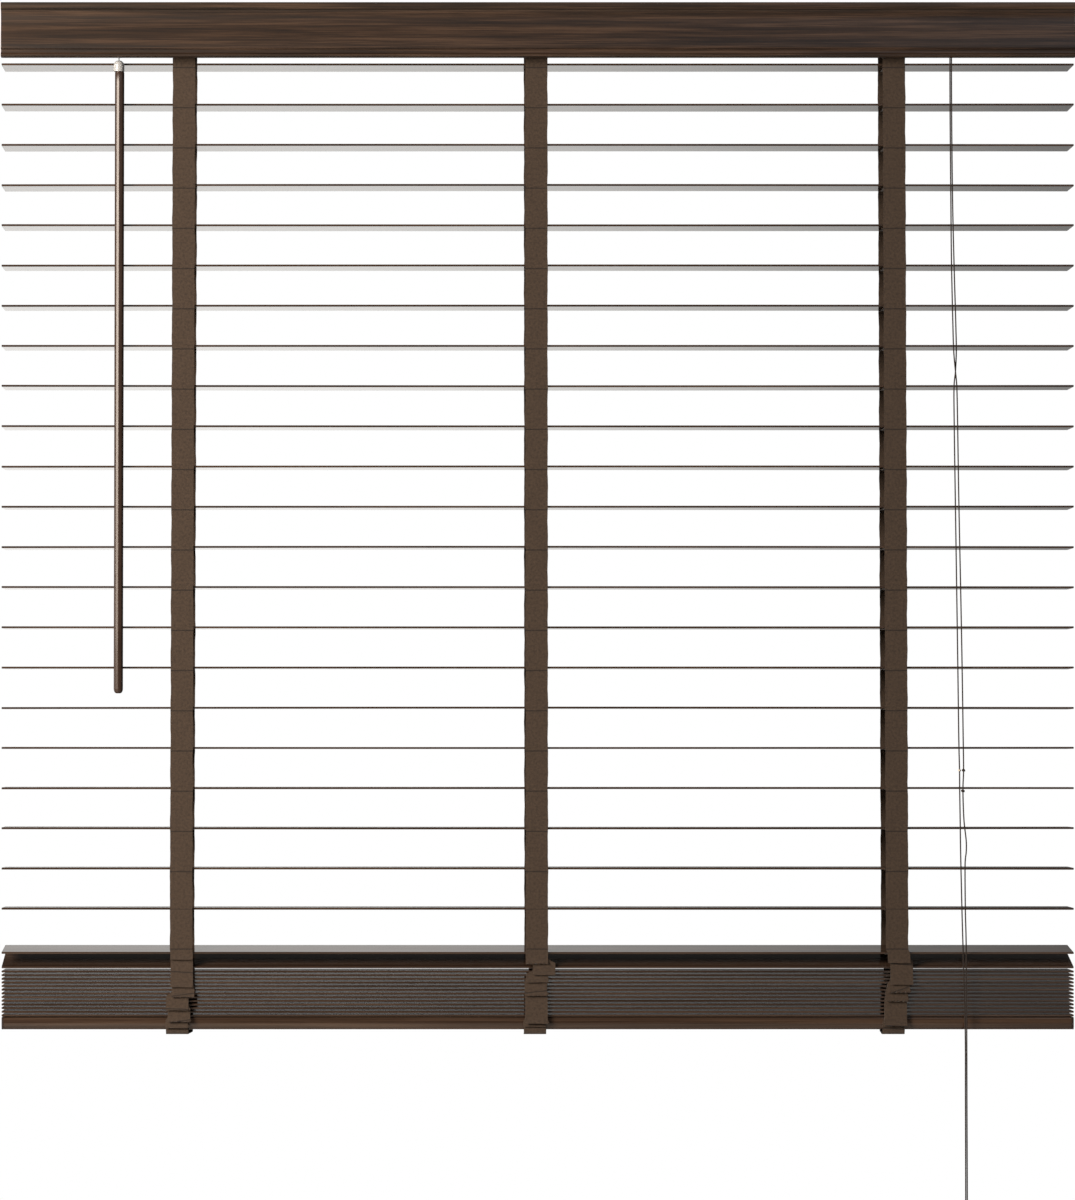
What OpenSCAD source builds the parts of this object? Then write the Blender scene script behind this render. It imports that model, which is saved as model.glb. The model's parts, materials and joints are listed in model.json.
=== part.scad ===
// Venetian blind with 50 mm slats on woven ladder tapes, part raised.
// The room is towards -Y, the window towards +Y, and X runs along the slats.
// The origin is on the ceiling plane, midway between the four screws of the brackets.

/* [Slats] */
// Width of the blind, which is the length of every slat
blind_w = 1200; // [1100:10:1300]
// Front-to-back depth of a slat
slat_d = 50; // [49:0.5:50]
// Thickness of a slat
slat_t = 2.2; // [1.8:0.1:2.2]
// Height from one open slat to the next
slat_pitch = 45; // [44:0.5:45]
// Number of slats that hang open
open_slats = 22; // [22:1:22]
// Number of slats that lie flat in the stack
stacked_slats = 13; // [13:1:13]
// Height from one stacked slat to the next
stack_pitch = 4.1; // [3.6:0.1:4.1]

/* [Ladder tapes] */
// Width of a woven tape
tape_w = 25; // [20:1:25]
// Distance of the outer tapes from the middle one
tape_x = 398; // [350:1:410]
// Distance of the tapes from the slats' centre line
tape_y = 27.6; // [27.6:0.1:27.8]

/* [Headrail] */
// Depth of the headrail
rail_d = 60; // [59.8:0.1:60]
// Height of the headrail
rail_h = 39; // [38:0.5:39]
// Sheet thickness of the headrail
rail_t = 0.8; // [0.6:0.1:0.8]

/* [Valance] */
// Height of the valance
valance_h = 61; // [58:1:61]
// Thickness of the valance
valance_t = 10; // [9:0.5:10]

/* [Wand and cords] */
// Distance of the wand from the middle of the blind
wand_x = 468; // [460:1:470]
// Length of the wand
wand_l = 702; // [400:10:800]
// Width of the eight-sided wand across its corners
wand_w = 10; // [9:0.5:10]
// Diameter of the lift and pull cords
cord_d = 1.5; // [1.2:0.1:1.6]

/* [Bottom rail] */
// Height of the bottom rail
bottom_h = 13.5; // [12:0.5:14]

/* [Hidden] */
$fn = 48;
eps = 0.01;
slats = open_slats + 2 + stacked_slats;
function slat_name(i) = str("slat_", i < 10 ? "0" : "", i);

// Heights, counted down from the ceiling plane
rail_top = -3;
rail_bottom = rail_top - rail_h;
rod_z = -27;
first_z = -68;
last_open_z = first_z - slat_pitch * (open_slats - 1);
loose_z = last_open_z - 46.6;
loose_lean = 7;
stack_top_z = last_open_z - 58.8;
stack_top_lean = 14;
bottom_top = last_open_z - 121.5;
stack_gap = 0.9;

// Bottom rail, and how low the tapes are wrapped under it
bottom_low = bottom_top - bottom_h;
bottom_cap = 2;
recess_r = 7.5;
recess_h = 6;
wrap_z = bottom_low - 5.5;

// Headrail and what sits in it
rail_l = blind_w - 8;
inner_y = rail_d / 2 - rail_t;
floor_z = rail_bottom + rail_t;
opening_x = 28;
opening_y = 56.8;
rod_r = 3.2;
run_clear = 0.05;
bracket_t = 1.5;
bracket_l = 37;
screw_x = 580;
screw_y = 15;
screw_r = 2.5;
wall_screw_z = [-12, -32];
lock_x = 462;

// Valance, in front of the headrail
valance_back = -rail_d / 2 - 9;
valance_front = valance_back - valance_t;
valance_top = -2;
valance_l = blind_w - 2;

// Tilter: worm and gear axes, the worm leaning forwards and down
gear_r = 8;
gear_teeth = 18;
worm_r = 3.9;
worm_lean = 35;
axes_gap = 12;
worm_y = -axes_gap * cos(worm_lean);
worm_z = rod_z + axes_gap * sin(worm_lean);
stem_l = 42.1;
ball_r = 2;
ball_y = worm_y - stem_l * sin(worm_lean);
ball_z = worm_z - stem_l * cos(worm_lean);

// Wand, hanging in front of the slats
cap_top = -65;
cap_r = 6;
cap_h = 12.5;
wand_top = -70;
wire_r = 0.6;

// Routes of the two pull cords, from the cord lock down into the tassel
cord_a = [
    [461, -34, -38], [460.3, -34, -61], [460.5, -34, -130], [461.3, -34, -220], [462, -34, -290],
    [463.5, -34.5, -360], [464.4, -35, -390], [466.4, -35, -413], [467.9, -34.5, -430], [468.8, -34, -467],
    [470.2, -34, -556], [472.5, -34, -668], [474, -34, -750], [475.1, -34, -824], [475.5, -34, -858],
    [474.8, -34, -881], [475.9, -34, -913], [478.4, -34, -936], [478.5, -34, -949], [477.2, -34, -964],
    [477.5, -34, -1014], [478.4, -34, -1053], [479, -34.4, -1146], [479.2, -34.5, -1226],
    [479.6, -34.5, -1338], [479.6, -34.5, -1440]
];
cord_b = [
    [463, -34, -38], [462, -34, -61], [462.2, -34, -130], [463.2, -34, -220], [464.8, -34, -290],
    [466.9, -33.5, -360], [467.5, -33, -390], [466.5, -33, -413], [464.9, -33.5, -430], [465, -34, -467],
    [466.3, -34, -556], [468, -34, -668], [469.2, -34, -750], [470.2, -34, -824], [471, -34, -858],
    [471.2, -34, -881], [471.7, -34, -913], [472.2, -34, -949], [473.7, -34, -1014], [474.8, -34, -1053],
    [477.4, -33.6, -1146], [477.7, -33.5, -1226], [478, -33.5, -1338], [478, -33.5, -1440]
];
tassel_at = [478.8, -34];
tassel_top = -1432;
tassel_h = 45;

// A solid of one outline, running along X between -length/2 and length/2
module along_x(length) {
    rotate([90, 0, 90]) linear_extrude(length, center = true) children();
}

// A cylinder along X
module bar_x(r, length) {
    rotate([0, 90, 0]) cylinder(r = r, h = length, center = true);
}

// A box given by its lowest and highest corners
module box(low, high) {
    translate(low) cube(high - low);
}

// Places its children at both ends of the blind, mirrored
module both_ends() {
    children();
    mirror([1, 0, 0]) children();
}

// Moves its children to the three tapes
module at_tapes() {
    for (x = [-tape_x, 0, tape_x]) translate([x, 0, 0]) children();
}

// ---- slats ----

// Height and lean of slat i, counted from the top
function slat_z(i) =
    i <= open_slats ? first_z - slat_pitch * (i - 1) :
    i == open_slats + 1 ? loose_z :
    i == open_slats + 2 ? stack_top_z :
    bottom_top + stack_gap + slat_t / 2 + stack_pitch * (slats - i);

function slat_lean(i) =
    i == open_slats + 1 ? loose_lean :
    i == open_slats + 2 ? stack_top_lean :
    0;

// Outline of a slat: a flat board with eased edges
module slat_outline() {
    ease = 0.8;
    d = slat_d / 2;
    t = slat_t / 2;
    polygon([
        [-d, ease - t], [ease - d, -t], [d - ease, -t], [d, ease - t],
        [d, t - ease], [d - ease, t], [ease - d, t], [-d, t - ease]
    ]);
}

// Slot that a lift cord runs through, long enough for the slat to tilt round it
module route_slot() {
    slot_r = 3;
    slot_l = 18;
    straight = slot_l - 2 * slot_r;
    for (y = [-straight, straight] / 2) translate([0, y, 0]) cylinder(r = slot_r, h = 2 * slat_t, center = true);
    cube([2 * slot_r, straight, 2 * slat_t], center = true);
}

module slat(i) {
    color("#3a2a20")
    translate([0, 0, slat_z(i)])
    rotate([slat_lean(i), 0, 0])
    difference() {
        along_x(blind_w) slat_outline();
        for (x = [-tape_x, tape_x]) translate([x, 0, 0]) route_slot();
    }
}

// ---- headrail, its fixings and the valance ----

module headrail_outline() {
    lip = 5;
    half = rail_d / 2;
    for (s = [0, 1]) mirror([s, 0]) {
        translate([inner_y, rail_bottom]) square([rail_t, rail_h]);
        translate([half - lip, rail_top - rail_t]) square([lip, rail_t]);
    }
    translate([-half, rail_bottom]) square([rail_d, rail_t]);
}

module headrail() {
    stem_gap = 4;
    nose_gap = 16.5;
    color("#4a3a2e")
    difference() {
        along_x(rail_l) headrail_outline();
        at_tapes() box(
            [-opening_x / 2, -opening_y / 2, rail_bottom - 1],
            [opening_x / 2, opening_y / 2, floor_z + 1]
        );
        // the worm's stem leaves here
        box([-wand_x - stem_gap, -28.6, rail_bottom - 1], [-wand_x + stem_gap, -20, floor_z + 1]);
        // the cord lock's nose leaves here
        box([lock_x - nose_gap, -rail_d / 2 - 1, floor_z], [lock_x + nose_gap, -inner_y + 1, -18]);
    }
}

module headrail_end_caps() {
    plug_l = 8;
    color("#2b2320")
    both_ends() {
        box([rail_l / 2, -rail_d / 2, rail_bottom], [rail_l / 2 + bracket_t, rail_d / 2, rail_top]);
        difference() {
            box([rail_l / 2 - plug_l, -inner_y, floor_z], [rail_l / 2, inner_y, rail_top - rail_t]);
            box([rail_l / 2 - plug_l - 1, 2 - inner_y, floor_z + 2], [rail_l / 2 - 2, inner_y - 2, rail_top + 1]);
        }
    }
}

// Open-fronted box brackets that the ends of the headrail sit in
module mounting_brackets() {
    x_in = rail_l / 2 + 2.5 - bracket_l;
    x_out = rail_l / 2 + 2.5;
    back = rail_d / 2 + 1;
    under = rail_bottom - 0.5;
    color("#b9bcc0")
    both_ends() difference() {
        union() {
            box([x_in, -rail_d / 2, -bracket_t], [x_out + bracket_t, back + bracket_t, 0]);
            box([x_in, back, under - bracket_t], [x_out + bracket_t, back + bracket_t, 0]);
            box([x_in, -rail_d / 2 - 2, under - bracket_t], [x_out + bracket_t, back + bracket_t, under]);
            box([x_out, -rail_d / 2 - 2, under - bracket_t], [x_out + bracket_t, back + bracket_t, 0]);
            box([x_in, -rail_d / 2 - 2, under - bracket_t], [x_out + bracket_t, -rail_d / 2 - 0.5, under + 7]);
        }
        for (y = [-screw_y, screw_y])
            translate([screw_x, y, -bracket_t - 1]) cylinder(r = screw_r, h = bracket_t + 2);
        for (z = wall_screw_z)
            translate([screw_x, back - 1, z]) rotate([-90, 0, 0]) cylinder(r = screw_r, h = bracket_t + 2);
    }
}

// Depth of the moulding at a share s of the way down its hollow
function hollow(s) = 3.2 * sin(180 * pow(s, 0.8)) + 2.6 * (1 - s);

// Outline of the valance: fillet, hollow and bead on a flat back
module valance_outline() {
    fillet = 7;
    bead = 8;
    hollow_h = valance_h - fillet - bead - 2;
    steps = 16;
    bottom = valance_top - valance_h;
    polygon(concat(
        [[valance_back, bottom], [valance_back, valance_top], [valance_front, valance_top]],
        [[valance_front, valance_top - fillet]],
        [for (k = [0:steps]) let (share = k / steps)
            [valance_front + hollow(share) + 0.4, valance_top - fillet - 1 - hollow_h * share]],
        [[valance_front, bottom + bead], [valance_front, bottom + 1], [valance_front + 1, bottom]]
    ));
}

module valance() {
    color("#4c382c") along_x(valance_l) valance_outline();
}

// Clear clips that hook over the front lip of the headrail and hold the valance
module valance_clips() {
    clip_w = 14;
    front = -rail_d / 2;
    color("#dfe4e6")
    for (x = [-540, -180, 180, 540]) translate([x, 0, 0]) {
        box([-clip_w / 2, valance_back, -30], [clip_w / 2, valance_back + 1.5, -4]);
        box([-clip_w / 2, valance_back, -7], [clip_w / 2, front, -4]);
        box([-clip_w / 2, front - 1.5, -20], [clip_w / 2, front, rail_top + 1.2]);
        box([-clip_w / 2, front - 1.5, rail_top], [clip_w / 2, front + 6, rail_top + 1.2]);
    }
}

// ---- tilting gear ----

module tilt_rod() {
    left = -wand_x - 12;
    right = tape_x + 26;
    color("#8f9397")
    translate([(left + right) / 2, 0, rod_z]) bar_x(rod_r, right - left);
}

// A steel strip on a hub for each ladder, which swings the tapes' upper ends
module tape_rockers() {
    strip_t = 1.2;
    tip_y = 25.35;
    hub_r = 5.5;
    strip_w = tape_w - 1;
    color("#9a9ea2")
    at_tapes() translate([0, 0, rod_z]) difference() {
        union() {
            bar_x(hub_r, 18);
            cube([strip_w, 2 * tip_y, strip_t], center = true);
            for (s = [-1, 1]) translate([0, s * tip_y, 0]) bar_x(strip_t / 2, strip_w);
        }
        bar_x(rod_r, strip_w + 2);
    }
}

// A pair of plastic saddles beside each rocker carries the rod
module rod_supports() {
    saddle_t = 3;
    saddle_w = 20;
    saddle_top = rod_z + 7;
    arch_r = 4;
    color("#d8d3c8")
    at_tapes() for (s = [-1, 1]) difference() {
        translate([s * 17, 0, 0])
        box([-saddle_t / 2, -saddle_w / 2, floor_z], [saddle_t / 2, saddle_w / 2, saddle_top]);
        translate([s * 17, 0, rod_z]) bar_x(rod_r + run_clear, saddle_t + 2);
        // the lift cords pass under the rod
        box([s * 17 - saddle_t, -arch_r, floor_z - 1], [s * 17 + saddle_t, arch_r, floor_z + 4]);
    }
}

// Puts its children on the worm's axis, with +Z up the stem
module on_worm() {
    translate([-wand_x, worm_y, worm_z]) rotate([-worm_lean, 0, 0]) children();
}

module tilter_housing() {
    wall = 2.5;
    half = 15;
    front = -28.5;
    back = 13;
    top = -8.5;
    color("#e4e0d6")
    difference() {
        box([-wand_x - half, front, floor_z], [-wand_x + half, back, top]);
        box([-wand_x - half + wall, front + wall, floor_z + wall], [-wand_x + half - wall, back - wall, top - wall]);
        translate([-wand_x, 0, rod_z]) bar_x(rod_r + run_clear, 2 * half + 2);
        on_worm() translate([0, 0, -stem_l]) cylinder(r = 2, h = stem_l);
    }
}

module tilter_gear() {
    gear_w = 8;
    root_r = gear_r - 1.1;
    tooth_w = 1.5;
    color("#efeadf")
    translate([-wand_x, 0, rod_z])
    difference() {
        along_x(gear_w) union() {
            circle(r = root_r);
            for (k = [1:gear_teeth]) rotate(360 * k / gear_teeth)
                translate([root_r - 0.4, -tooth_w / 2]) square([gear_r - root_r + 0.3, tooth_w]);
        }
        bar_x(rod_r, gear_w + 2);
    }
}

// Worm with its stem, which ends in a neck and a ball below the headrail
module tilter_worm() {
    thread_l = 13;
    neck_l = 6;
    color("#a7abae")
    on_worm() {
        cylinder(r = worm_r, h = thread_l, center = true);
        translate([0, 0, -stem_l + neck_l]) cylinder(r = 1.6, h = stem_l - neck_l);
        translate([0, 0, -stem_l]) cylinder(r = 0.8, h = neck_l + 1);
        translate([0, 0, -stem_l]) sphere(r = ball_r);
    }
}

// ---- wand ----

// Wire hook: an open ring round the worm's neck, and a shank that ends in a head inside the cap
module wand_hook() {
    ring_r = 2.4;
    ring_up = 1.5;
    head_z = -68.5;
    ring_steps = 14;
    ahead = [0, -cos(worm_lean), sin(worm_lean)];
    centre = [0, ball_y, ball_z] + ring_up * [0, sin(worm_lean), cos(worm_lean)];
    ring = [for (k = [0:ring_steps]) let (turn = 500 - 22 * k)
        centre + ring_r * (sin(turn) * [1, 0, 0] + cos(turn) * ahead)];
    shank = [
        [0.3, ball_y + 3, ball_z - 1.2], [0.3, ball_y + 3.2, ball_z - 2.9], [0.2, ball_y + 2.4, ball_z - 5.2],
        [0, ball_y + 0.6, ball_z - 6.8], [0, ball_y, ball_z - 8.4], [0, ball_y, head_z]
    ];
    color("#b4b7ba") translate([-wand_x, 0, 0]) {
        tube(concat(ring, shank), wire_r);
        translate([0, ball_y, head_z - 0.5]) cylinder(r = 2, h = 1);
    }
}

module wand_cap() {
    wall = 0.75;
    color("#e8f0f2", 0.5)
    translate([-wand_x, ball_y, cap_top]) difference() {
        union() {
            translate([0, 0, -cap_h]) cylinder(r = cap_r, h = cap_h - cap_r);
            translate([0, 0, -cap_r]) sphere(r = cap_r);
        }
        translate([0, 0, -cap_h - 1]) cylinder(r = cap_r - wall, h = cap_h + 1 - cap_r);
        translate([0, 0, -cap_r]) sphere(r = cap_r - wall);
        translate([0, 0, -cap_h]) cylinder(r = 1.2, h = cap_h + 1);
    }
}

module wand() {
    tip_h = 2.5;
    color("#1d1512")
    translate([-wand_x, ball_y, wand_top]) rotate([0, 0, 22.5]) {
        translate([0, 0, -wand_l + tip_h]) cylinder(r = wand_w / 2, h = wand_l - tip_h, $fn = 8);
        translate([0, 0, -wand_l]) cylinder(r1 = wand_w / 2 - 1.6, r2 = wand_w / 2, h = tip_h, $fn = 8);
    }
}

// ---- cords ----

module cord_lock() {
    half = 16;
    wall = 4;
    nose = -32.5;
    back = 12;
    top = -19;
    color("#dcd8ce")
    translate([lock_x, 0, 0]) {
        difference() {
            box([-half, nose, floor_z], [half, back, top]);
            box([wall - half, nose - 1, floor_z + 3], [half - wall, back + 1, top + 1]);
            // the cords come in through the side
            box([-half - 1, -7, floor_z + 0.5], [wall - half + 1, 7, -32]);
        }
        // guide bar and locking roller
        translate([0, -18, -29]) bar_x(2, 2 * (half - wall));
        translate([0, -3, -29]) bar_x(3.5, 22);
    }
}

// Lift cords: up through the slats, under the tilt rod and along to the cord lock
module lift_cords() {
    run_z = -39.6;
    foot_z = bottom_top - bottom_h + 6;
    color("#241a16")
    for (s = [-1, 1]) tube([
        [s * tape_x, 0, foot_z], [s * tape_x, 0, run_z - 3], [s * tape_x + 1, s * 0.5, run_z - 1],
        [s * tape_x + 4, s * 1.5, run_z], [428, s * 1.5, run_z], [436, s * 1.5, -38.4], [444, s * 1.5, -37.2],
        [453, s * 1.5 - 2, -36.5], [lock_x + s - 2, -8, -36.5], [lock_x + s, -14, -36.5],
        [lock_x + s, -33.2, -36.5]
    ], cord_d / 2);
}

function unit(v) = v / norm(v);

// Smooth point at a share t of the way between p1 and p2
function smooth(p0, p1, p2, p3, t) =
    0.5 * (2 * p1 + (p2 - p0) * t + (2 * p0 - 5 * p1 + 4 * p2 - p3) * t * t
        + (3 * p1 - p0 - 3 * p2 + p3) * t * t * t);

// Direction of a line at its point k
function heading(line, k) = unit(line[min(k + 1, len(line) - 1)] - line[max(k - 1, 0)]);

// A closed tube of eight sides along a line, with a ring square to the line at every point
module tube(line, r) {
    sides = 8;
    rings = len(line);
    points = [
        for (k = [0:rings - 1])
            let (ahead = heading(line, k), u = unit(cross(ahead, [0, 1, 0.3])), v = cross(ahead, u))
            for (a = [0:sides - 1]) line[k] + r * (cos(360 * a / sides) * u + sin(360 * a / sides) * v)
    ];
    walls = [for (k = [0:rings - 2]) for (a = [0:sides - 1]) let (b = (a + 1) % sides, n = k * sides)
        [n + sides + a, n + sides + b, n + b, n + a]];
    ends = [[for (a = [0:sides - 1]) a], [for (a = [sides - 1:-1:0]) (rings - 1) * sides + a]];
    polyhedron(points, concat(ends, walls));
}

// The points of a hanging route, with a smooth point halfway along each long leg
function hanging(route) = let (last = len(route) - 1) concat(
    [for (k = [0:last - 1]) let (halves = route[k][2] - route[k + 1][2] > 60 ? 2 : 1)
        for (j = [0:halves - 1])
            smooth(route[max(k - 1, 0)], route[k], route[k + 1], route[min(k + 2, last)], j / halves)],
    [route[last]]
);

module pull_cords() {
    color("#241a16") {
        tube(hanging(cord_a), cord_d / 2);
        tube(hanging(cord_b), cord_d / 2);
    }
}

// Turned wooden acorn on the ends of the pull cords
module tassel() {
    hole_r = 2.4;
    color("#3a2a20")
    translate([tassel_at[0], tassel_at[1], tassel_top]) rotate_extrude() polygon([
        [hole_r, 0], [4, 0], [4.6, -2], [4.2, -6], [5, -10], [7.2, -17], [8.6, -26], [8.8, -33], [8, -39],
        [6, -43], [3, -tassel_h], [0, -tassel_h], [0, -14], [hole_r, -14]
    ]);
}

// ---- ladder tapes ----

module hanging_tapes(side) {
    tape_t = 0.5;
    color("#4b3c30")
    at_tapes() box(
        [-tape_w / 2, side * tape_y - tape_t / 2, last_open_z],
        [tape_w / 2, side * tape_y + tape_t / 2, rod_z]
    );
}

// Slack lower ends of each ladder, folded beside the stack and wrapped under the bottom rail
module lower_tapes() {
    soft_t = 1;
    color("#4b3c30")
    at_tapes() {
        for (side = [-1, 1]) box(
            [-tape_w / 2, side * tape_y - soft_t / 2, wrap_z],
            [tape_w / 2, side * tape_y + soft_t / 2, last_open_z - eps]
        );
        box([-tape_w / 2, -tape_y, wrap_z], [tape_w / 2, tape_y, wrap_z + soft_t]);
    }
}

// ---- bottom rail ----

// Outline of the bottom rail: eased at the top, bevelled at the bottom
module bottom_outline() {
    d = slat_d / 2;
    polygon([
        [-d + 1, bottom_top], [-d, bottom_top - 1], [-d, bottom_low + 2.8], [-d + 1.8, bottom_low],
        [d - 1.8, bottom_low], [d, bottom_low + 2.8], [d, bottom_top - 1], [d - 1, bottom_top]
    ]);
}

module bottom_rail() {
    color("#3a2a20")
    difference() {
        along_x(blind_w - 2 * bottom_cap) bottom_outline();
        at_tapes() translate([0, 0, bottom_low - 1]) cylinder(r = recess_r, h = recess_h + 1);
        for (x = [-tape_x, tape_x]) translate([x, 0, bottom_low]) cylinder(r = 2, h = bottom_h + 1);
    }
}

// End caps of the bottom rail and the buttons that close its tape recesses
module bottom_rail_fittings() {
    button_r = 10;
    flange_h = 1.5;
    color("#2b1f19") {
        both_ends() translate([(blind_w - bottom_cap) / 2, 0, 0]) along_x(bottom_cap) bottom_outline();
        at_tapes() translate([0, 0, bottom_low]) difference() {
            union() {
                translate([0, 0, -flange_h]) cylinder(r = button_r, h = flange_h);
                cylinder(r = recess_r, h = recess_h - 1);
            }
            cylinder(r = recess_r - 2, h = recess_h);
        }
    }
}

// ---- nodes ----

headrail();
headrail_end_caps();
mounting_brackets();
valance();
valance_clips();
tilt_rod();
tape_rockers();
rod_supports();
tilter_housing();
tilter_gear();
tilter_worm();
wand_hook();
wand_cap();
wand();
cord_lock();
lift_cords();
pull_cords();
tassel();
hanging_tapes(-1);  // front_tapes
hanging_tapes(1);  // back_tapes
lower_tapes();
bottom_rail();
bottom_rail_fittings();
for (i = [1:slats]) slat(i);
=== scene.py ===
"""Venetian blind with 50 mm slats on woven ladder tapes, part raised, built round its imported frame.

The room is towards -Y and the window towards +Y, X runs along the slats, and Z is up from the
ceiling plane. Sizes are in millimetres up to the point where a mesh is made, and in metres from
there on.
"""

import json
import logging
import math
from collections.abc import Iterable
from dataclasses import dataclass
from enum import Enum

import bmesh
import bpy
import numpy as np
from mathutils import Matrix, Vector

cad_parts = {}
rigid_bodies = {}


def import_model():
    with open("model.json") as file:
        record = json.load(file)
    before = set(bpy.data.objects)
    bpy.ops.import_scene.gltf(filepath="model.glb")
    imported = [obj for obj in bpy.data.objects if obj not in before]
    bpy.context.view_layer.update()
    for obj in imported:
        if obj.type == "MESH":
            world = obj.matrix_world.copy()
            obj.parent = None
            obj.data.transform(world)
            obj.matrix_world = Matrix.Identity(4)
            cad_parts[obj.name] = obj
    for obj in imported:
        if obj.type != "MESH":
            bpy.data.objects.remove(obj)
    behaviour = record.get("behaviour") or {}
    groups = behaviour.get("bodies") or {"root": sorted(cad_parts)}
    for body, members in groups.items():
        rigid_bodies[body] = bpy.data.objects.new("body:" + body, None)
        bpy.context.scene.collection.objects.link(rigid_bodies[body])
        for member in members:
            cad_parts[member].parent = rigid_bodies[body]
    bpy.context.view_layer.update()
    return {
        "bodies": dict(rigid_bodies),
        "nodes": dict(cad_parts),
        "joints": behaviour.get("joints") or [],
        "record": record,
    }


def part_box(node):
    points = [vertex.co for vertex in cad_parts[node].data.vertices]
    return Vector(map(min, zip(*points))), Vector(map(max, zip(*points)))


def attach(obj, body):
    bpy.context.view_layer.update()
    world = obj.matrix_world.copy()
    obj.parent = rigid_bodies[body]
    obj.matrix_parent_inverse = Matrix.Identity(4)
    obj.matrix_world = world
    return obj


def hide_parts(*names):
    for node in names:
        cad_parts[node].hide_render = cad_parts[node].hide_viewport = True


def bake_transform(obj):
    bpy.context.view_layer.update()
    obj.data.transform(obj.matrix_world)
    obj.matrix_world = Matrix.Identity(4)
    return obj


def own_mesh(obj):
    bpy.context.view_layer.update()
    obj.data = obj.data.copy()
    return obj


LOG = logging.getLogger("blind")
MM = 0.001

Colour = tuple[float, float, float, float]
Points = np.ndarray
Socket = bpy.types.NodeSocket

# boards in millimetres: how far their cut ends are eased, the next station in from an end, and how
# far out the even stations reach
EASE = 0.4
END_STEP = 1.2
EVEN_REACH = 560.0


class Side(Enum):
    """The two faces of the blind, by the sign of Y."""

    FRONT = -1
    BACK = 1


# ---------------------------------------------------------------- meshes


def arc_length(line: Points) -> Points:
    """Running length along a line: the sum of the distances between its points.

    Args:
        line: points in order, one row each.

    Returns:
        The length from the first point to each point.
    """
    steps = np.linalg.norm(np.diff(line, axis=0), axis=1)
    return np.concatenate([[0.0], np.cumsum(steps)])


def along(line: Points, places: Points) -> Points:
    """Points of a line at given running lengths, interpolated straight between its points."""
    run = arc_length(line)
    return np.stack([np.interp(places, run, line[:, k]) for k in range(3)], axis=-1)


def smooth_line(route: Iterable[Iterable[float]], step: float) -> Points:
    """A smooth line through the points of a route.

    Each leg is a cubic whose slope at a point is half the difference of the point's two neighbours.

    Args:
        route: the points to pass through.
        step: distance between the points of the result.

    Returns:
        Evenly spaced points of the line.
    """
    knots = np.asarray(list(route), float)
    padded = np.concatenate([2 * knots[:1] - knots[1:2], knots, 2 * knots[-1:] - knots[-2:-1]])
    p0, p1, p2, p3 = (padded[k:len(padded) - 3 + k, None, :] for k in range(4))
    t = np.linspace(0.0, 1.0, 24, endpoint=False)[None, :, None]
    legs = 0.5 * (
        2 * p1 + (p2 - p0) * t
        + (2 * p0 - 5 * p1 + 4 * p2 - p3) * t**2
        + (3 * p1 - p0 - 3 * p2 + p3) * t**3
    )
    fine = np.concatenate([legs.reshape(-1, 3), knots[-1:]])
    total = arc_length(fine)[-1]
    return along(fine, np.linspace(0.0, total, max(2, round(total / step) + 1)))


def rounds(
    line: Points, ahead: Points, reference: Points, radius: float, sides: int
) -> Points:
    """Rings of a round cord: radius x (cosine and sine of an angle) on two directions square to it.

    The first direction is the reference less its part along the line, and the second is the cross
    product of the line's direction and the first.

    Args:
        line: points of the cord's middle, in order.
        ahead: direction of the line at each point, of any length.
        reference: direction of the rings' first points, one for all or one for each ring.
        radius: radius of the cord.
        sides: number of points in a ring.

    Returns:
        Points of the rings, as an array of rings x sides x 3.
    """
    ahead = ahead / np.linalg.norm(ahead, axis=1, keepdims=True)
    first = reference - np.sum(reference * ahead, axis=1, keepdims=True) * ahead
    first /= np.linalg.norm(first, axis=1, keepdims=True)
    second = np.cross(ahead, first)
    turn = np.linspace(0.0, math.tau, sides, endpoint=False)[None, :, None]
    return line[:, None] + radius * (np.cos(turn) * first[:, None] + np.sin(turn) * second[:, None])


def turned(centre: Iterable[float], outline: Points, sides: int) -> Points:
    """Rings of a turned form round a vertical axis.

    Args:
        centre: the point of the axis from which heights are measured.
        outline: height and radius of each ring.
        sides: number of points in a ring.

    Returns:
        Points of the rings, as an array of rings x sides x 3.
    """
    turn = np.linspace(0.0, math.tau, sides, endpoint=False)
    height, radius = outline[:, :1], outline[:, 1:]
    level = np.broadcast_to(height, (len(outline), sides))
    circles = np.stack([radius * np.cos(turn), radius * np.sin(turn), level], axis=-1)
    return np.asarray(centre) + circles


def grid_faces(index: Points) -> Points:
    """Quads that join points j and j + 1 of row i to the same points of row i + 1.

    Args:
        index: vertex numbers, in rows that each close on themselves.

    Returns:
        Four vertex numbers for each quad, as an array of gaps between rows x points x 4.
    """
    beside = np.roll(index, -1, axis=1)
    return np.stack([index[:-1], beside[:-1], beside[1:], index[1:]], axis=-1)


def finished(
    name: str, points: Points, faces: list, corners: Points | None, sharp: float
) -> bpy.types.Object:
    """Puts points and faces into an object in the scene.

    Args:
        name: name of the piece.
        points: places of the vertices in millimetres.
        faces: vertex numbers of each face.
        corners: two map values for each face corner, or None for no map.
        sharp: edges that bend by more than this angle in degrees stay crisp.

    Returns:
        The new object, at the origin.
    """
    mesh = bpy.data.meshes.new(name)
    mesh.from_pydata((points.reshape(-1, 3) * MM).tolist(), [], faces)
    if corners is not None:
        mesh.uv_layers.new(name="UVMap").data.foreach_set("uv", corners.astype(np.float32).ravel())
    mesh.shade_smooth()
    mesh.set_sharp_from_angle(angle=math.radians(sharp))
    mesh.update()
    obj = bpy.data.objects.new(name, mesh)
    bpy.context.scene.collection.objects.link(obj)
    return obj


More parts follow.
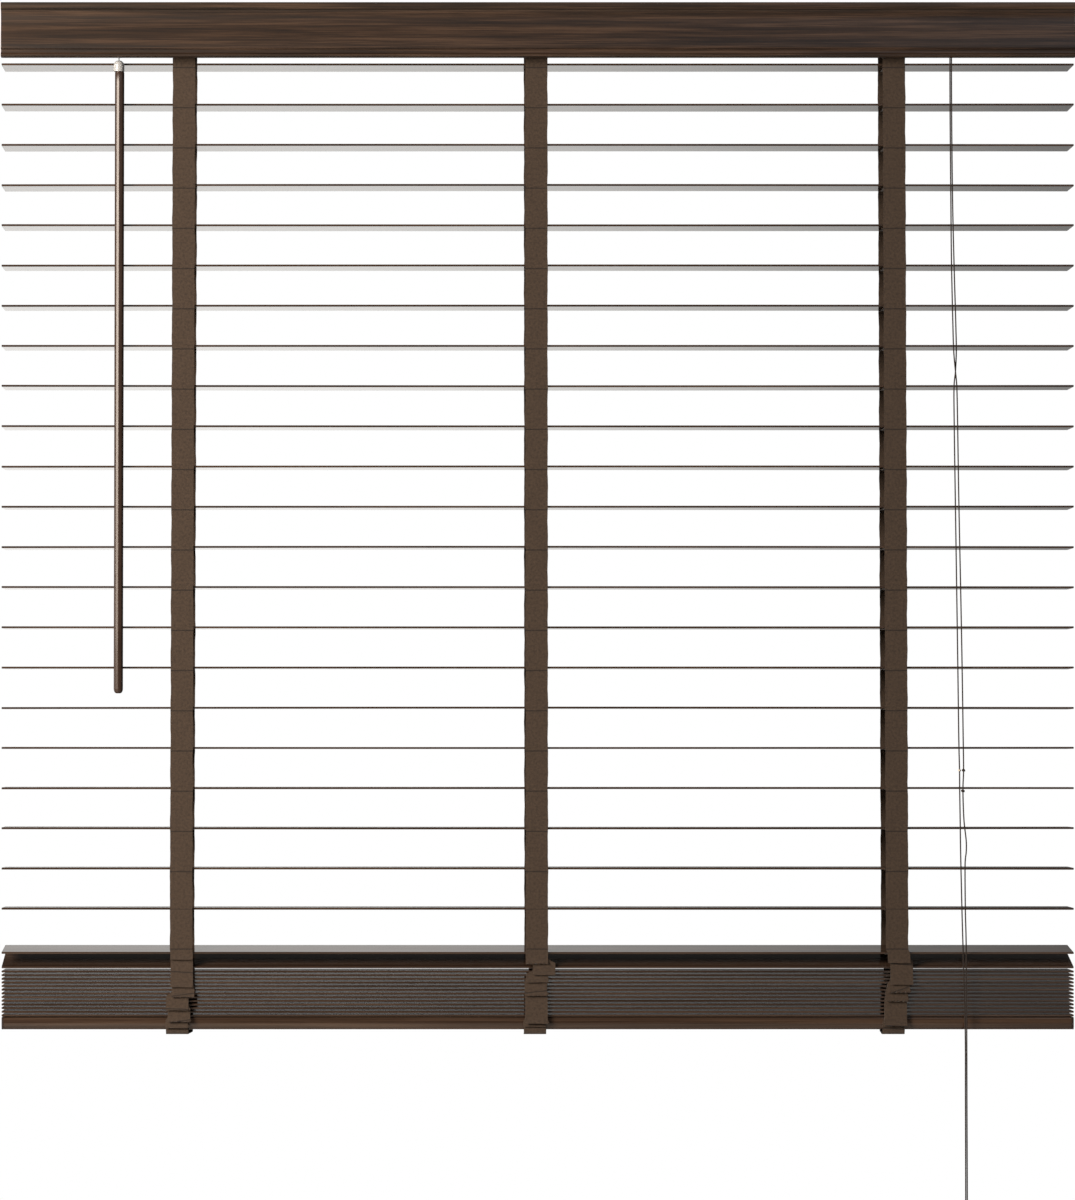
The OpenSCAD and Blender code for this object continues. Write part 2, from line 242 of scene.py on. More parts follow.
def shell(
    name: str, rings: Points, around: Points | None = None, ahead: Points | None = None,
    sharp: float = 40.0,
) -> bpy.types.Object:
    """A closed skin over rings of points, with a face across each end.

    The skin's signed volume, the sum of the triple products of its triangles, says whether its
    faces have to be turned outwards.

    Args:
        name: name of the piece.
        rings: points in millimetres, ring by ring, as an array of rings x points x 3.
        around: map value across at each ring point and once more at the first, for a mapped skin.
        ahead: map value along at each ring.
        sharp: edges that bend by more than this angle in degrees stay crisp.

    Returns:
        The new object.
    """
    count, size = rings.shape[:2]
    index = np.arange(count * size).reshape(count, size)
    quads = grid_faces(index).reshape(-1, 4)
    ends = [index[0][::-1], index[-1]]
    flat = rings.reshape(-1, 3)
    halves = np.concatenate([quads[:, [0, 1, 2]], quads[:, [0, 2, 3]]])
    a, b, c = (flat[halves[:, k]] - flat.mean(axis=0) for k in range(3))
    corners = None
    if around is not None and ahead is not None:
        u = np.stack([around[:-1], around[1:], around[1:], around[:-1]], axis=-1)
        v = np.stack([ahead[:-1], ahead[:-1], ahead[1:], ahead[1:]], axis=-1)
        shape = (count - 1, size, 4)
        corners = np.stack(
            [np.broadcast_to(u[None], shape), np.broadcast_to(v[:, None], shape)], axis=-1
        ).reshape(-1, 4, 2)
    if np.einsum("ij,ij->", a, np.cross(b, c)) < 0:
        quads = quads[:, ::-1]
        ends = [end[::-1] for end in ends]
        corners = None if corners is None else corners[:, ::-1]
    if corners is not None:
        at_ends = np.stack([np.tile(around[:-1], 2), np.repeat(ahead[[0, -1]], size)], axis=-1)
        corners = np.concatenate([corners.reshape(-1, 2), at_ends])
    return finished(name, flat, quads.tolist() + [end.tolist() for end in ends], corners, sharp)


def tube(
    name: str, line: Points, radius: float, reference: Iterable[float], sides: int = 10
) -> bpy.types.Object:
    """A round cord along a line, mapped once round and in millimetres along.

    Args:
        name: name of the piece.
        line: points of the cord's middle in millimetres.
        radius: radius of the cord in millimetres.
        reference: direction of the rings' first points.
        sides: number of points in a ring.

    Returns:
        The new object.
    """
    toward = np.asarray(reference, float)
    rings = rounds(line, np.gradient(line, axis=0), toward, radius, sides)
    return shell(name, rings, np.linspace(0.0, 1.0, sides + 1), arc_length(line), 60.0)


def ribbon(name: str, grid: Points, thickness: float) -> bpy.types.Object:
    """A closed strip of cloth: the grid moved half its thickness each way along its own normal.

    The normal is the cross product of the grid's two slopes.

    Args:
        name: name of the piece.
        grid: points of the middle surface, as stations x columns x 3, in millimetres.
        thickness: thickness of the cloth in millimetres.

    Returns:
        The new object, mapped in millimetres across and along.
    """
    normal = np.cross(np.gradient(grid, axis=0), np.gradient(grid, axis=1))
    normal /= np.linalg.norm(normal, axis=-1, keepdims=True)
    rings = np.concatenate(
        [grid + normal * thickness / 2, (grid - normal * thickness / 2)[:, ::-1]], axis=1
    )
    across = arc_length(grid[0])
    around = np.concatenate([across, across[::-1], across[:1]])
    return shell(name, rings, around, arc_length(grid[:, grid.shape[1] // 2]), 50.0)


def along_x(name: str, outline: Points, stations: Points, sharp: float) -> bpy.types.Object:
    """A profile carried along X: every ring is the outline's Y and Z at one station.

    The first and last ring are drawn in towards the outline's middle, which eases the cut ends.

    Args:
        name: name of the piece.
        outline: Y and Z of the profile's points in millimetres.
        stations: places of the rings along X.
        sharp: edges that bend by more than this angle in degrees stay crisp.

    Returns:
        The new object.
    """
    middle = (outline.max(axis=0) + outline.min(axis=0)) / 2
    half = (outline.max(axis=0) - outline.min(axis=0)) / 2
    ease = np.zeros((len(stations), 1, 1))
    ease[[0, -1]] = EASE
    yz = middle + (outline - middle) * (1 - ease / half)
    x = np.broadcast_to(stations[:, None, None], (*yz.shape[:2], 1))
    return shell(name, np.concatenate([x, yz], axis=-1), sharp=sharp)


def board_stations(length: float, count: int) -> Points:
    """Places along a board of some length: three close together by each end, and even between."""
    end = length / 2
    start = np.array([-end, EASE - end, END_STEP - end])
    return np.concatenate([start, np.linspace(-EVEN_REACH, EVEN_REACH, count), -start[::-1]])


def corner(
    centre: tuple[float, float], radius: float, start: float, stop: float, steps: int = 5
) -> Points:
    """Points of a round corner: its centre plus the radius turned between two angles in degrees."""
    turn = np.radians(np.linspace(start, stop, steps))
    return np.asarray(centre) + radius * np.stack([np.cos(turn), np.sin(turn)], axis=-1)


# ---------------------------------------------------------------- finishes


def linear(colour: str) -> Colour:
    """The linear value of an sRGB colour given as six hex digits."""
    parts = [int(colour[k:k + 2], 16) / 255 for k in (1, 3, 5)]
    r, g, b = (p / 12.92 if p <= 0.04045 else ((p + 0.055) / 1.055) ** 2.4 for p in parts)
    return (r, g, b, 1.0)


class Graph:
    """A node tree, with one short method for each kind of node that the finishes share."""

    def __init__(self, tree: bpy.types.NodeTree) -> None:
        """Takes over a tree and empties it."""
        self.tree = tree
        tree.nodes.clear()

    def add(self, kind: str, inputs: dict, **settings: object) -> bpy.types.Node:
        """Adds a node with its settings, values and links.

        Args:
            kind: Blender's name of the node type, without the first part that all of them share.
            inputs: for each input, by name or number, the socket to link from or the value to set.
            settings: the node's own settings.

        Returns:
            The new node.
        """
        node = self.tree.nodes.new(f"ShaderNode{kind}")
        for key, value in settings.items():
            setattr(node, key, value)
        for key, value in inputs.items():
            if isinstance(value, Socket):
                self.tree.links.new(value, node.inputs[key])
            else:
                node.inputs[key].default_value = value
        return node

    def place(self, kind: str) -> Socket:
        """The place on a piece, in metres ("Object") or on its map ("UV")."""
        return self.add("TexCoord", {}).outputs[kind]

    def parts(self, place: Socket) -> dict[str, Socket]:
        """The X, Y and Z of a place or a direction."""
        node = self.add("SeparateXYZ", {"Vector": place})
        return {axis: node.outputs[axis] for axis in "XYZ"}

    def stretched(self, place: Socket, scale: tuple[float, float, float]) -> Socket:
        """A place multiplied by a number along each axis."""
        return self.add("Mapping", {"Vector": place, "Scale": scale}).outputs["Vector"]

    def noise(self, place: Socket, detail: float, rough: float = 0.5, scale: float = 1.0) -> Socket:
        """Fractal noise round a half, with a cell to each unit of the scaled place."""
        values = {"Vector": place, "Scale": scale, "Detail": detail, "Roughness": rough}
        return self.add("TexNoise", values).outputs["Fac"]

    def maths(self, operation: str, *values: Socket | float) -> Socket:
        """An operation on up to three sockets or numbers."""
        return self.add("Math", dict(enumerate(values)), operation=operation).outputs["Value"]

    def ranged(
        self, value: Socket, start: tuple[float, float], end: tuple[float, float] = (0.0, 1.0),
        curve: str = "LINEAR",
    ) -> Socket:
        """A value carried from one range to another, and kept within it.

        Args:
            value: the socket that gives the value.
            start: the range it comes in.
            end: the range it leaves in.
            curve: Blender's name for the way between the two ends.

        Returns:
            The socket with the result.
        """
        values = {
            "Value": value, "From Min": start[0], "From Max": start[1], "To Min": end[0],
            "To Max": end[1],
        }
        return self.add("MapRange", values, interpolation_type=curve).outputs["Result"]

    def ramp(self, value: Socket, *stops: tuple[float, str]) -> Socket:
        """A colour ramp.

        Args:
            value: the socket that gives the place on the ramp.
            stops: place and hex colour of each stop.

        Returns:
            The socket with the colour.
        """
        node = self.add("ValToRGB", {"Fac": value})
        elements = node.color_ramp.elements
        for k, (place, colour) in enumerate(stops):
            stop = elements[k] if k < len(elements) else elements.new(place)
            stop.position, stop.color = place, linear(colour)
        return node.outputs["Color"]

    def surface(self, inputs: dict, height: Socket | None = None, relief_mm: float = 0.0) -> None:
        """Ends a material in a Principled shader.

        Args:
            inputs: values and links of the shader.
            height: the socket that gives the height of its relief.
            relief_mm: depth of the relief, or 0 for none.
        """
        if height is not None and relief_mm > 0:
            bump = self.add("Bump", {"Height": height, "Distance": relief_mm * MM, "Strength": 1.0})
            inputs = inputs | {"Normal": bump.outputs["Normal"]}
        shader = self.add("BsdfPrincipled", inputs)
        self.add("OutputMaterial", {"Surface": shader.outputs["BSDF"]})


def new_material(name: str) -> tuple[bpy.types.Material, Graph]:
    """An empty node material and its graph."""
    material = bpy.data.materials.new(name)
    material.use_nodes = True
    return material, Graph(material.node_tree)


@dataclass(frozen=True)
class GrainedWood:
    """Lacquered basswood, or board wrapped in wood-grain foil: dark streaks run along X."""

    name: str
    dark: str
    middle: str
    light: str
    streak_mm: float
    streak_length_mm: float
    roughness: float
    relief_mm: float

    def build(self) -> bpy.types.Material:
        """The material, with its grain as fine and broad noise drawn out along X."""
        material, graph = new_material(self.name)
        place = graph.place("Object")
        along_grain, across = 1 / (self.streak_length_mm * MM), 1 / (self.streak_mm * MM)
        close = graph.stretched(place, (along_grain, across, across))
        broad = graph.stretched(place, (along_grain / 3, across / 5, across / 5))
        fine = graph.noise(close, 5.0, 0.62)
        grain = graph.ranged(graph.maths("ADD", fine, graph.noise(broad, 3.0)), (0.78, 1.22))
        colour = graph.ramp(grain, (0.0, self.dark), (1.0, self.light), (0.5, self.middle))
        rough = graph.ranged(grain, (0.0, 1.0), (self.roughness + 0.03, self.roughness - 0.02))
        look = {"Base Color": colour, "Roughness": rough, "IOR": 1.5}
        graph.surface(look, fine, self.relief_mm)
        return material


@dataclass(frozen=True)
class WovenTape:
    """Polyester ladder tape, plain woven: matt, with a stitched line at every rung."""

    name: str = "polyester_tape_woven"
    weft: str = "#4c3d30"
    warp: str = "#231a14"
    seam: str = "#17100c"
    # real threads are 0.4 mm apart; they are drawn three times as coarse so that they show
    thread_mm: float = 1.2
    rung_mm: float = 45.0
    seam_mm: float = 0.9
    relief_mm: float = 0.12

    def build(self) -> bpy.types.Material:
        """The material, on the strip's own map in millimetres: two crossed sines for threads."""
        material, graph = new_material(self.name)
        place = graph.place("UV")
        axes = graph.parts(place)
        thread = math.tau / self.thread_mm
        turns = (
            graph.maths("MULTIPLY", axes[axis], thread * share)
            for axis, share in (("X", 1.0), ("Y", 0.5))
        )
        crossed = graph.maths("MULTIPLY", *(graph.maths("SINE", turn) for turn in turns))
        weave = graph.ranged(crossed, (-1.0, 1.0))
        slub = graph.noise(place, 4.0, 0.7, 0.35)
        shade = graph.maths("MULTIPLY_ADD", weave, slub, slub)
        colour = graph.ramp(shade, (0.25, self.warp), (0.95, self.weft))
        cell = graph.maths("PINGPONG", axes["Y"], self.rung_mm / 2)
        stitch = graph.ranged(cell, (self.seam_mm / 2, self.seam_mm), (0.75, 0.0))
        # the colour mix has its factor at input 0 and its two colours at 6 and 7
        sewn = graph.add("Mix", {0: stitch, 6: colour, 7: linear(self.seam)}, data_type="RGBA")
        look = {
            "Base Color": sewn.outputs[2], "Roughness": 0.88, "IOR": 1.45, "Sheen Weight": 0.25,
            "Sheen Roughness": 0.5,
        }
        graph.surface(look, graph.maths("SUBTRACT", weave, stitch), self.relief_mm)
        return material


@dataclass(frozen=True)
class BraidedCord:
    """Polyester lift cord, braided: two sets of strands cross round it, matt with a faint sheen."""

    name: str = "polyester_cord_braided"
    strand: str = "#2d211a"
    # colour of the low places between strands: painted shade in the braid's hollows
    painted_gap_shade: str = "#1b130f"
    # strands really turn round every 4 mm
    lay_mm: float = 4.0
    strands: int = 3
    relief_mm: float = 0.04

    def build(self) -> bpy.types.Material:
        """The material: the product of two sines that run opposite ways round the cord, with painted
        shade darkening its low places between strands.
        """
        material, graph = new_material(self.name)
        axes = graph.parts(graph.place("UV"))
        rise = graph.maths("MULTIPLY", axes["Y"], math.tau / self.lay_mm)
        turns = (
            graph.maths("MULTIPLY_ADD", axes["X"], way * self.strands * math.tau, rise)
            for way in (1, -1)
        )
        braid = graph.maths("MULTIPLY", *(graph.maths("SINE", turn) for turn in turns))
        height = graph.ranged(braid, (-1.0, 1.0))
        # the braid's low places take the darker colour: painted shade between strands
        colour = graph.ramp(height, (0.1, self.painted_gap_shade), (0.7, self.strand))
        look = {"Base Color": colour, "Roughness": 0.75, "IOR": 1.45, "Sheen Weight": 0.2}
        graph.surface(look, height, self.relief_mm)
        return material


@dataclass(frozen=True)
class PlainFinish:
    """A finish of one colour, told by its fine relief: coated steel or moulded plastic."""

    name: str
    light: str
    dark: str
    cell_mm: float
    roughness: float
    metallic: float
    relief_mm: float
    clear: float = 0.0
    ior: float = 1.5

    def build(self) -> bpy.types.Material:
        """The material: noise of the cell's size moves its colour, roughness and height."""
        material, graph = new_material(self.name)
        noise = graph.noise(graph.place("Object"), 3.0, 0.55, 1 / (self.cell_mm * MM))
        look = {
            "Base Color": graph.ramp(noise, (0.3, self.dark), (0.7, self.light)),
            "Roughness": graph.ranged(
                noise, (0.0, 1.0), (self.roughness - 0.04, self.roughness + 0.06)
            ),
            "Metallic": self.metallic, "IOR": self.ior, "Transmission Weight": self.clear,
        }
        graph.surface(look, noise, self.relief_mm)
        return material


FINISHES = {
    # basswood boards under a sprayed satin lacquer: dark brown, and a mirror at a low angle
    "painted_wood": GrainedWood(
        "basswood_lacquered", "#32251c", "#403127", "#503f33", 1.6, 160.0, 0.1, 0.0
    ),
    # fibreboard wrapped in printed foil: fine straight streaks of grain under a soft gloss
    "foiled_valance": GrainedWood(
        "fibreboard_foil_wrapped", "#1e140d", "#34251a", "#4f3c2e", 1.1, 75.0, 0.4, 0.01
    ),
    # roll-formed steel, stove enamelled: even, with a slight orange peel
    "enamelled_steel": PlainFinish("steel_enamelled", "#3c2d25", "#33251e", 3.0, 0.36, 0.0, 0.02),
    # pressed steel, zinc plated: bluish grey with soft spangles
    "zinc_steel": PlainFinish("steel_zinc_plated", "#c3c7cb", "#a2a7ac", 5.0, 0.32, 1.0, 0.01),
    # nylon, injection moulded: warm white and faintly cloudy
    "ivory_plastic": PlainFinish(
        "nylon_moulded_ivory", "#e9e3d5", "#ddd6c6", 2.0, 0.42, 0.0, 0.015
    ),
    # ABS, injection moulded with a spark-eroded grain
    "brown_plastic": PlainFinish("abs_moulded_brown", "#32261f", "#271c16", 0.8, 0.48, 0.0, 0.02),
    # polypropylene, injection moulded: milky, half clear
    "clear_plastic": PlainFinish(
        "polypropylene_milky", "#f5f7f8", "#eaeef0", 12.0, 0.24, 0.0, 0.0, 0.5, 1.49
    ),
    # extruded acrylic stick, lacquered brown: smooth flats that mirror the light in stripes
    "dark_wand": PlainFinish(
        "acrylic_stick_lacquered", "#43332a", "#3b2c23", 30.0, 0.3, 0.0, 0.0
    ),
    "dark_cord": BraidedCord(),
    "woven_tape": WovenTape(),
}


class Dresser:
    """Keeps one built material for each of the record's slots and puts them on pieces."""

    def __init__(self) -> None:
        """Builds every finish once."""
        self.built = {slot: finish.build() for slot, finish in FINISHES.items()}

    def dress(self, obj: bpy.types.Object, slot: str) -> bpy.types.Object:
        """Gives a new piece the finish of a slot."""
        obj.data.materials.clear()
        obj.data.materials.append(self.built[slot])
        return obj

    def dress_node(self, frame: dict, node: str) -> None:
        """Gives a carried-over node the finish that the record names for it."""
        slots = {part["node"]: part["material_slot"] for part in frame["record"]["subparts"]}
        mesh = frame["nodes"][node].data
        mesh.materials.clear()
        mesh.materials.append(self.built[slots[node]])


# ---------------------------------------------------------------- studio


@dataclass
class Studio:
    """Camera, light and floor."""

    eye_mm: tuple[float, float, float] = (-154.1, -5225.0, -835.3)
    lens: float = 139.4
    shift: tuple[float, float] = (0.1146, 0.125)
    floor_mm: float = -1800.0
    floor_size: float = 6.0
    ambient: float = 0.05
    window: float = 1.26
    # middle of the blind in metres, which the lamps face
    aim: tuple[float, float, float] = (0.0, 0.0, -0.6)

    def camera(self) -> None:
        """Sets up the camera, level and square to the blind."""
        data = bpy.data.cameras.new("camera")
        data.lens, data.sensor_width = self.lens, 36.0
        data.shift_x, data.shift_y = self.shift
        data.clip_end = 60.0
        obj = bpy.data.objects.new("camera", data)
        obj.location = [v * MM for v in self.eye_mm]
        obj.rotation_euler = (math.pi / 2, 0.0, 0.0)
        bpy.context.scene.collection.objects.link(obj)
        bpy.context.scene.camera = obj

    def floor(self) -> None:
        """Lays a pale floor below the blind's lowest point."""
        half = self.floor_size / MM / 2
        ends = np.array([[-half, -half], [half, -half], [half, half], [-half, half]])
        corners = np.insert(ends, 2, self.floor_mm, axis=1)
        obj = finished("floor", corners, [[0, 1, 2, 3]], None, 30.0)
        material, graph = new_material("floor_pale")
        graph.surface({"Base Color": linear("#e9e8e5"), "Roughness": 0.8})
        obj.data.materials.append(material)

    def lamp(
        self, name: str, place: tuple, size: float, power: float, colour: str,
        mirrored: bool = True,
    ) -> None:
        """Adds a soft square light that faces the middle of the blind.

        Args:
            name: name of the light.
            place: where it hangs, in metres.
            size: length of its side in metres.
            power: its power in watts.
            colour: its colour as a hex value.
            mirrored: whether reflections show it.
        """
        data = bpy.data.lights.new(name, "AREA")
        data.size, data.energy, data.color = size, power, linear(colour)[:3]
        obj = bpy.data.objects.new(name, data)
        obj.location = place
        aim = Vector(self.aim) - Vector(place)
        obj.rotation_euler = aim.to_track_quat("-Z", "Y").to_euler()
        obj.visible_glossy = mirrored
        bpy.context.scene.collection.objects.link(obj)

    def surroundings(self) -> None:
        """A white room, dim in front, and brighter behind the blind and to the left.

        A ramp gives its brightness by the height of the direction looked in, from -0.25 to 0.5: a
        pale table, a dark wall and a low panel. The second reflection sees a tenth of it, so that
        the stack's gaps stay dark.
        """
        world = bpy.data.worlds.new("studio")
        world.use_nodes = True
        bpy.context.scene.world = world
        graph = Graph(world.node_tree)
        axes = graph.parts(graph.place("Generated"))
        glow = graph.ramp(
            graph.ranged(axes["Z"], (-0.25, 0.5)),
            (0.0, "#c8c8c8"), (0.1, "#ffffff"), (0.24, "#ffffff"), (0.378, "#bcbcbc"),
            (0.384, "#000000"), (0.6, "#000000"), (0.667, "#d0d0d0"), (0.76, "#d0d0d0"),
            (0.82, "#000000"),
        )
        for axis, span, ends in (("Y", (0.1, 0.8), (0.0, 1.0)), ("X", (0.2, -0.05), (0.1, 1.0))):
            share = graph.ranged(axes[axis], span, ends, "SMOOTHSTEP")
            glow = graph.maths("MULTIPLY", glow, share)
        path = graph.add("LightPath", {}).outputs
        fade = graph.ranged(path["Ray Depth"], (2.0, 3.0), (self.window, 0.1 * self.window))
        seen = graph.maths("MULTIPLY_ADD", glow, fade, self.ambient)
        lit = graph.add("Background", {"Color": linear("#fffdfa"), "Strength": seen}).outputs[0]
        plain = graph.add("Background", {"Color": linear("#ffffff"), "Strength": 1.0}).outputs[0]
        mix = graph.add("MixShader", {0: path["Is Camera Ray"], 1: lit, 2: plain})
        graph.add("OutputWorld", {"Surface": mix.outputs[0]})

    def build(self) -> None:
        """Makes the whole studio."""
        bpy.context.scene.view_settings.view_transform = "Standard"
        self.camera()
        self.floor()
        self.lamp("key", (-2.4, -2.2, 0.2), 1.4, 150.0, "#fff1e2")
        self.lamp("fill", (1.5, -3.6, 1.4), 1.6, 14.0, "#eef3ff")
        self.lamp("rear", (0.6, 3.2, 1.2), 2.0, 30.0, "#ffffff", mirrored=False)
        self.surroundings()


# ---------------------------------------------------------------- cords


CORD_A = (
    (461, -34, -38), (460.3, -34, -61), (460.5, -34, -130), (461.3, -34, -220), (462, -34, -290),
    (463.5, -34.5, -360), (464.4, -35, -390), (466.4, -35, -413), (467.9, -34.5, -430),
    (468.8, -34, -467), (470.2, -34, -556), (472.5, -34, -668), (474, -34, -750),
    (475.1, -34, -824), (475.5, -34, -858), (474.8, -34, -881), (475.9, -34, -913),
    (478.4, -34, -936), (478.5, -34, -949), (477.2, -34, -964), (477.5, -34, -1014),
    (478.4, -34, -1053), (479, -34.4, -1146), (479.2, -34.5, -1226), (479.6, -34.5, -1338),
    (479.6, -34.5, -1440),
)
CORD_B = (
    (463, -34, -38), (462, -34, -61), (462.2, -34, -130), (463.2, -34, -220), (464.8, -34, -290),
    (466.9, -33.5, -360), (467.5, -33, -390), (466.5, -33, -413), (464.9, -33.5, -430),
    (465, -34, -467), (466.3, -34, -556), (468, -34, -668), (469.2, -34, -750), (470.2, -34, -824),
    (471, -34, -858), (471.2, -34, -881), (471.7, -34, -913), (472.2, -34, -949),
    (473.7, -34, -1014), (474.8, -34, -1053), (477.4, -33.6, -1146), (477.7, -33.5, -1226),
    (478, -33.5, -1338), (478, -33.5, -1440),
)


@dataclass
class PullCords:
    """Two pull cords with their knots and the tassel that joins them."""

    dresser: Dresser
    cord_mm: float = 1.5
    step_mm: float = 3.0
    # radius of a knot's cord, which is pulled tight, as a share of the cord's width
    tight: float = 0.44
    tassel_mm: tuple[float, float, float] = (478.8, -34.0, -1432.0)
    # height and radius of the turned outline, from the mouth down to the foot
    turned_mm: tuple = (
        (0.0, 2.4), (0.0, 3.4), (-0.3, 3.9), (-1.2, 4.5), (-2.4, 4.6), (-3.4, 4.3), (-5.2, 4.15),
        (-6.4, 4.3), (-7.4, 4.9), (-8.0, 5.2), (-8.8, 5.1), (-10.0, 5.1), (-14.0, 6.2),
        (-18.0, 7.3), (-22.0, 8.1), (-26.0, 8.6), (-30.0, 8.8), (-34.0, 8.7), (-37.5, 8.2),
        (-40.5, 7.2), (-43.0, 5.7), (-44.5, 3.8), (-45.0, 1.8), (-45.0, 0.3),
    )
    bore_mm: tuple = ((-14.0, 0.3), (-14.0, 2.4), (-7.0, 2.4))

    def tassel(self) -> bpy.types.Object:
        """A turned acorn with a bore for the cords in its top."""
        rings = turned(self.tassel_mm, np.array(self.bore_mm + self.turned_mm), 40)
        obj = self.dresser.dress(shell("tassel_acorn", rings), "painted_wood")
        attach(obj, "tassel")
        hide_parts("tassel")
        return obj

    def knot(
        self, name: str, place: tuple[float, float, float], width: float, slot: str
    ) -> bpy.types.Object:
        """An overhand knot: a trefoil of cord pulled small.

        Its line is (sin t + 2 sin 2t, cos t - 2 cos 2t, -sin 3t), with its depth pressed to 0.8 and
        its height drawn out to 1.6 of that, scaled to the knot's width.

        Args:
            name: name of the piece.
            place: its middle in millimetres.
            width: its width in millimetres.
            slot: slot of the record whose finish it gets.

        Returns:
            The new object, which goes with the tassel.
        """
        sides = 8
        t = np.linspace(0.0, math.tau, 73)[:-1]
        depth = 0.8 * (np.cos(t) - 2 * np.cos(2 * t))
        line = np.stack([np.sin(t) + 2 * np.sin(2 * t), depth, -1.6 * np.sin(3 * t)], axis=-1)
        line *= width / 9
        ahead = np.roll(line, -1, axis=0) - np.roll(line, 1, axis=0)
        rings = rounds(line, ahead, line, self.cord_mm * self.tight, sides) + np.asarray(place)
        index = np.arange(len(line) * sides).reshape(-1, sides)
        quads = grid_faces(np.concatenate([index, index[:1]])).reshape(-1, 4)
        obj = finished(name, rings, quads.tolist(), None, 80.0)
        outwards(obj)
        self.dresser.dress(obj, slot)
        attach(obj, "tassel")
        return obj

    def build(self) -> None:
        """Makes the cords and what is on them."""
        tassel = self.tassel()
        right = [
            self.knot("cord_knot_upper_right", (475.5, -34, -858), 4.4, "dark_cord"),
            self.knot("cord_knot_lower_right", (474.8, -34, -881), 5.0, "dark_cord"),
        ]
        # the upper left knot takes the pale ivory finish in place of the highlight on a dark cord
        # knot: a painted highlight
        left = [self.knot("cord_knot_upper_left", (471, -34, -858), 3.6, "ivory_plastic")]
        for name, route, held in (
            ("pull_cord_right", CORD_A, [tassel, *right]), ("pull_cord_left", CORD_B, left),
        ):
            line = smooth_line(route, self.step_mm)
            obj = self.dresser.dress(tube(name, line, self.cord_mm / 2, (1, 0, 0)), "dark_cord")
            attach(obj, "root")
            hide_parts("pull_cords")
            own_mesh(obj)


@dataclass
class LiftCords:
    """Two lift cords, up through the slats and along inside the headrail to the cord lock."""

    dresser: Dresser
    cord_mm: float = 1.5
    tape_mm: float = 398.0
    foot_mm: float = -1142.0
    turn_mm: float = -60.0
    run_mm: float = -39.6
    lock_mm: float = 462.0
    # distance of each cord's run from the headrail's middle
    apart_mm: float = 1.5
    rise_rings: int = 140

    def build(self) -> None:
        """Makes each cord's rise and its headrail run."""
        for sign, name in ((-1, "left"), (1, "right")):
            x, y, lock = sign * self.tape_mm, sign * self.apart_mm, self.lock_mm + sign
            heights = np.linspace(self.foot_mm, self.turn_mm, self.rise_rings)
            rise = np.stack([np.full_like(heights, x), 0 * heights, heights], axis=-1)
            obj = tube(f"lift_cord_{name}_rise", rise, self.cord_mm / 2, (1, 0, 0))
            self.dresser.dress(obj, "dark_cord")
            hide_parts("lift_cords")
            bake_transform(obj)
            route = (
                (x, 0, self.turn_mm), (x, 0, self.run_mm - 6),
                (x + 0.6, sign * 0.4, self.run_mm - 2.4), (x + 3, sign * 1.2, self.run_mm - 0.4),
                (x + 8, y, self.run_mm), (430 if sign < 0 else 422, y, self.run_mm),
                (436, y, -38.4), (444, y, -37.2), (453, y - 2, -36.5), (lock - 2, -8, -36.5),
                (lock, -14, -36.5), (lock, -33.2, -36.5),
            )
            line = smooth_line(route, 2.0)
            run = tube(f"lift_cord_{name}_run", line, self.cord_mm / 2, (0.1, 1, 0.25))
            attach(self.dresser.dress(run, "dark_cord"), "root")


# ---------------------------------------------------------------- slats


def outwards(obj: bpy.types.Object) -> None:
    """Turns the faces of a closed mesh outwards."""
    work = bmesh.new()
    work.from_mesh(obj.data)
    bmesh.ops.recalc_face_normals(work, faces=work.faces)
    work.to_mesh(obj.data)
    work.free()


